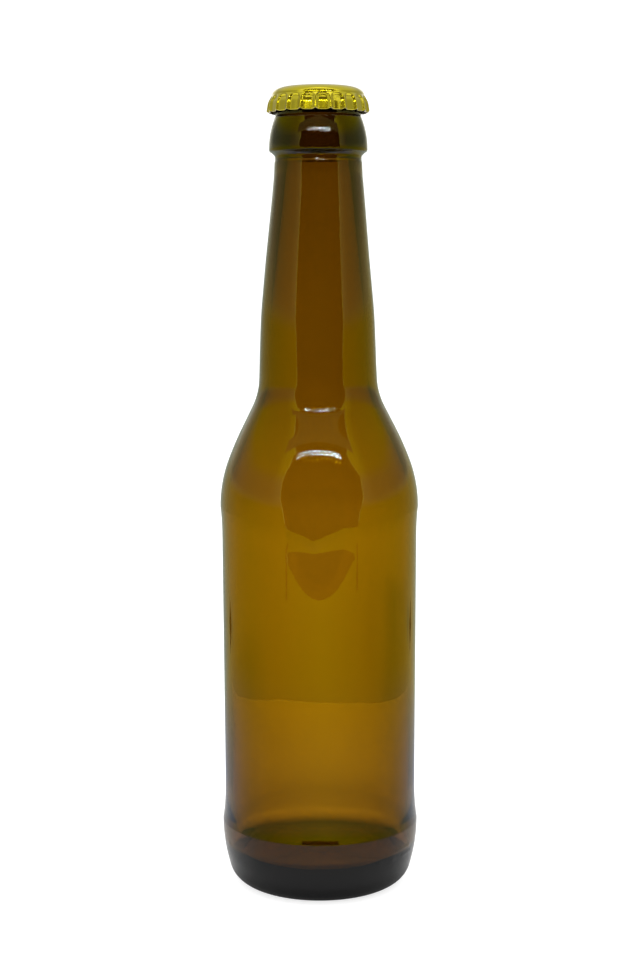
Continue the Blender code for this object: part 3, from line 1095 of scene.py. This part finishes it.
def shadowless_floor():
    """White floor with light of its own, so that a shadow on it stays faint."""
    material, tree = new_material("pale_floor")
    tone = even_range(tree, grain(tree, *FLOOR_GRAIN), *FLOOR_TONE)
    floor = add_node(
        tree, "ShaderNodeBsdfPrincipled", Base_Color=tone, Roughness=FLOOR_DULL,
        Emission_Color=NEUTRAL, Emission_Strength=FLOOR_GLOW)
    add_node(tree, "ShaderNodeOutputMaterial", Surface=floor.outputs["BSDF"])
    material.cycles.emission_sampling = "NONE"
    return material


def stand_table():
    """The table that the glass shows, and a floor that only the camera sees."""
    bm = bmesh.new()
    corners = card(bm, 2.0 * TABLE_HALF_WIDTH, TABLE_BACK - TABLE_FRONT, TABLE_CUTS)
    bmesh.ops.translate(bm, verts=corners, vec=(0.0, (TABLE_BACK + TABLE_FRONT) / 2, 0.0))
    table = finished(bm, "pale_table", [table_top()])
    hide_from(table, "camera", "diffuse", "shadow")
    bm = bmesh.new()
    corners = card(bm, FLOOR_WIDTH, FLOOR_WIDTH, TABLE_CUTS)
    bmesh.ops.translate(bm, verts=corners, vec=(0.0, 0.0, FLOOR_HEIGHT))
    floor = finished(bm, "pale_floor", [shadowless_floor()])
    hide_from(floor, "glossy", "transmission")


def hang_gap():
    """The dark opening at the front of the tent, as the glass mirrors it."""
    bm = bmesh.new()
    left = [(start, height) for height, start, end in GAP_EDGES]
    right = [(end, height) for height, start, end in reversed(GAP_EDGES)]
    corners = [bm.verts.new((x, -GAP_DISTANCE, z)) for x, z in left + right]
    bm.faces.new(corners)
    for place in POLE_PLACES:
        pole = bmesh.ops.create_cube(bm, size=1.0)["verts"]
        bmesh.ops.scale(bm, verts=pole, vec=(POLE_WIDTH, POLE_WIDTH, POLE_TOP - POLE_FOOT))
        middle = (place, -POLE_DISTANCE, (POLE_TOP + POLE_FOOT) / 2)
        bmesh.ops.translate(bm, verts=pole, vec=middle)
    for turn in CLIP_TURNS:
        aim = Vector((math.sin(turn), -math.cos(turn), 0.0))
        across = Vector((math.cos(turn), math.sin(turn), 0.0)) * CLIP_HALF_WIDTH
        middle = aim * CLIP_DISTANCE
        middle.z = (CLIP_FOOT + CLIP_TOP) / 2
        tall = Vector((0.0, 0.0, (CLIP_TOP - CLIP_FOOT) / 2))
        clip = [middle - tall, middle + across, middle + tall, middle - across]
        bm.faces.new([bm.verts.new(corner) for corner in clip])
    dark = mirrored_glow("dark_room", GAP_TONE, GAP_GLOW)
    set_glow(dark, GAP_ON_METAL, GAP_GLOW)
    gap = finished(bm, "dark_gap", [dark])
    only_in_reflections(gap)


def hang_hems():
    """The bright hems of the cloth beside the opening, and a pelmet above it."""
    bm = bmesh.new()
    for side, out in ((1, -HEM_WIDTH), (2, HEM_WIDTH)):
        for low, high in zip(GAP_EDGES, GAP_EDGES[1:]):
            corners = [(low[side], low[0]), (low[side] + out, low[0]),
                       (high[side] + out, high[0]), (high[side], high[0])]
            bm.faces.new([bm.verts.new((x, -GAP_DISTANCE, z)) for x, z in corners])
    hems = finished(bm, "cloth_hems", [mirrored_glow("bright_hem", HEM_TONE, HEM_GLOW)])
    bm = bmesh.new()
    pelmet = card(bm, 2.0 * PELMET_HALF_WIDTH, PELMET_TOP - PELMET_FOOT)
    bmesh.ops.rotate(bm, verts=pelmet, matrix=Matrix.Rotation(QUARTER, 3, "X"))
    middle = (0.0, -PELMET_DISTANCE, (PELMET_TOP + PELMET_FOOT) / 2)
    bmesh.ops.translate(bm, verts=pelmet, vec=middle)
    cloth = mirrored_glow("pelmet_cloth", PELMET_TONE, PELMET_GLOW, only_glass=True)
    pelmet = finished(bm, "pelmet", [cloth])
    only_in_reflections(hems)
    only_in_reflections(pelmet)


def hang_strip(tent):
    """A strip of small lights in two staggered rows, high in front of the bottle."""
    bm = bmesh.new()
    aim = Vector(STRIP_AIM) - Vector((0.0, -STRIP_DISTANCE, STRIP_HEIGHT))
    turn = aim.to_track_quat("Z", "Y").to_matrix().to_4x4()
    for number in range(STRIP_COLUMNS):
        x = (number - (STRIP_COLUMNS - 1) / 2) * STRIP_PITCH
        side = STRIP_STAGGER if number % 2 else -STRIP_STAGGER
        lamp = card(bm, LAMP_WIDTH, LAMP_HEIGHT)
        bmesh.ops.translate(bm, verts=lamp, vec=(0.0, side, 0.0))
        bmesh.ops.transform(bm, verts=lamp, matrix=turn)
        bmesh.ops.translate(bm, verts=lamp, vec=(x + STRIP_SHIFT, -STRIP_DISTANCE, STRIP_HEIGHT))
    lamps = glow("strip_light", NEUTRAL, tent.strip)
    set_glow(lamps, tent.strip * STRIP_ON_METAL, tent.strip)
    strip = finished(bm, "light_strip", [lamps])
    only_in_reflections(strip)


def light_world(tent):
    """A tent of white cloth: even light, a back wall and dimmer sides in gloss."""
    world = bpy.data.worlds.new("white_tent")
    world.use_nodes = True
    tree = world.node_tree
    background = tree.nodes["Background"]
    place = tree.nodes.new("ShaderNodeTexCoord")
    split = add_node(tree, "ShaderNodeSeparateXYZ", Vector=place.outputs["Generated"])
    across = split.outputs["X"]
    height = split.outputs["Z"]
    aside = turn_aside(tree, split)
    in_glass = mirrored_in_glass(tree)

    sides = smooth_range(tree, aside, *FLAP_SIDE, tent.flap, tent.cloth)
    back = calculate(tree, "MULTIPLY", smooth_range(tree, aside, *REAR_SIDE),
                     smooth_range(tree, height, *REAR_TOP))
    above = choose(tree, in_glass, smooth_range(tree, height, *HIGH_ON_METAL),
                   smooth_range(tree, height, *HIGH_IN_GLASS))
    gloss = calculate(tree, "MULTIPLY", choose(tree, back, sides, tent.back), above)

    right = calculate(tree, "MULTIPLY", smooth_range(tree, across, *RIGHT_SHADE),
                      smooth_range(tree, height, *RIGHT_SHADE_TOP))
    left = calculate(tree, "MULTIPLY", smooth_range(tree, across, *LEFT_SHADE),
                     smooth_range(tree, height, *LEFT_SHADE_TOP))
    lit = calculate(tree, "SUBTRACT", 1.0, calculate(tree, "ADD", right, left))
    wall = smooth_range(tree, height, *WALL_FOOT, tent.wall * WALL_FOOT_SHARE, tent.wall)
    wall = calculate(tree, "MULTIPLY", wall, lit)

    path = tree.nodes.new("ShaderNodeLightPath")
    below = calculate(tree, "MULTIPLY", in_glass, smooth_range(tree, height, *HORIZON))
    strength = choose(tree, path.outputs["Is Transmission Ray"], tent.white, wall)
    strength = choose(tree, mirrored_once(tree), strength, gloss)
    feed(tree, background.inputs["Strength"], choose(tree, below, strength, 1.0))

    sheen = blend_colours(tree, smooth_range(tree, height, *HIGH_TONE),
                          sheen_by_turn(tree, aside, CLOTH_SHEEN), HIGH_SHEEN)
    tone = blend_colours(tree, in_glass, NEUTRAL, sheen)
    tone = blend_colours(tree, below, tone, sheen_by_turn(tree, aside, FAR_SHEEN))
    feed(tree, background.inputs["Color"], tone)
    world.cycles.sampling_method = "NONE"
    bpy.context.scene.world = world
    bpy.context.scene.view_settings.view_transform = "Standard"


def place_camera(tent):
    """The camera in front of the bottle, looking slightly down."""
    data = bpy.data.cameras.new("camera")
    data.lens = tent.lens
    data.sensor_width = SENSOR_WIDTH
    data.clip_start = CAMERA_NEAREST
    camera = bpy.data.objects.new("camera", data)
    camera.location = (CAMERA_ASIDE, -tent.distance, tent.eye_height)
    lean = Matrix.Rotation(-tent.roll, 3, "Z")
    aim = Euler((QUARTER - tent.tilt, 0.0, 0.0)).to_matrix() @ lean
    camera.rotation_euler = aim.to_euler()
    bpy.context.scene.collection.objects.link(camera)
    bpy.context.scene.camera = camera


# Operators, panel and registration ------------------------

class LONGNECK_OT_blow_glass(bpy.types.Operator):
    """Blows the bottle in amber glass in place of its plain solid"""

    bl_idname = "longneck.blow_glass"
    bl_label = "Blow Glass Bottle"

    def execute(self, context):
        piece = blow_bottle(context.scene.longneck_glass)
        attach(piece, "root")
        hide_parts("bottle")
        return {"FINISHED"}


class LONGNECK_OT_press_crown(bpy.types.Operator):
    """Presses the gold crown cap in place of its plain solid"""

    bl_idname = "longneck.press_crown"
    bl_label = "Press Crown Cap"

    def execute(self, context):
        piece = press_crown(context.scene.longneck_crown)
        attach(piece, "root")
        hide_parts("crown_cap")
        return {"FINISHED"}


class LONGNECK_OT_pitch_tent(bpy.types.Operator):
    """Sets up the floor, the light tent and the camera"""

    bl_idname = "longneck.pitch_tent"
    bl_label = "Pitch Light Tent"

    def execute(self, context):
        tent = context.scene.longneck_tent
        light_world(tent)
        stand_table()
        hang_gap()
        hang_hems()
        hang_strip(tent)
        place_camera(tent)
        return {"FINISHED"}


class LONGNECK_PT_bottle(bpy.types.Panel):
    """Lists the steps and their settings in the sidebar"""

    bl_idname = "LONGNECK_PT_bottle"
    bl_label = "Longneck Bottle"
    bl_space_type = "VIEW_3D"
    bl_region_type = "UI"
    bl_category = "Bottle"

    def draw(self, context):
        steps = (("longneck.blow_glass", context.scene.longneck_glass),
                 ("longneck.press_crown", context.scene.longneck_crown),
                 ("longneck.pitch_tent", context.scene.longneck_tent))
        for operator, settings in steps:
            box = self.layout.box()
            box.operator(operator)
            for name in settings.bl_rna.properties.keys():
                if name not in ("rna_type", "name"):
                    box.prop(settings, name)


CLASSES = (
    GlassSettings,
    CrownSettings,
    TentSettings,
    LONGNECK_OT_blow_glass,
    LONGNECK_OT_press_crown,
    LONGNECK_OT_pitch_tent,
    LONGNECK_PT_bottle,
)


def register():
    for cls in CLASSES:
        bpy.utils.register_class(cls)
    bpy.types.Scene.longneck_glass = PointerProperty(type=GlassSettings)
    bpy.types.Scene.longneck_crown = PointerProperty(type=CrownSettings)
    bpy.types.Scene.longneck_tent = PointerProperty(type=TentSettings)


def unregister():
    del bpy.types.Scene.longneck_tent
    del bpy.types.Scene.longneck_crown
    del bpy.types.Scene.longneck_glass
    for cls in reversed(CLASSES):
        bpy.utils.unregister_class(cls)


def main():
    register()
    bpy.ops.longneck.blow_glass()
    bpy.ops.longneck.press_crown()
    bpy.ops.longneck.pitch_tent()


if __name__ == "__main__":
    main()
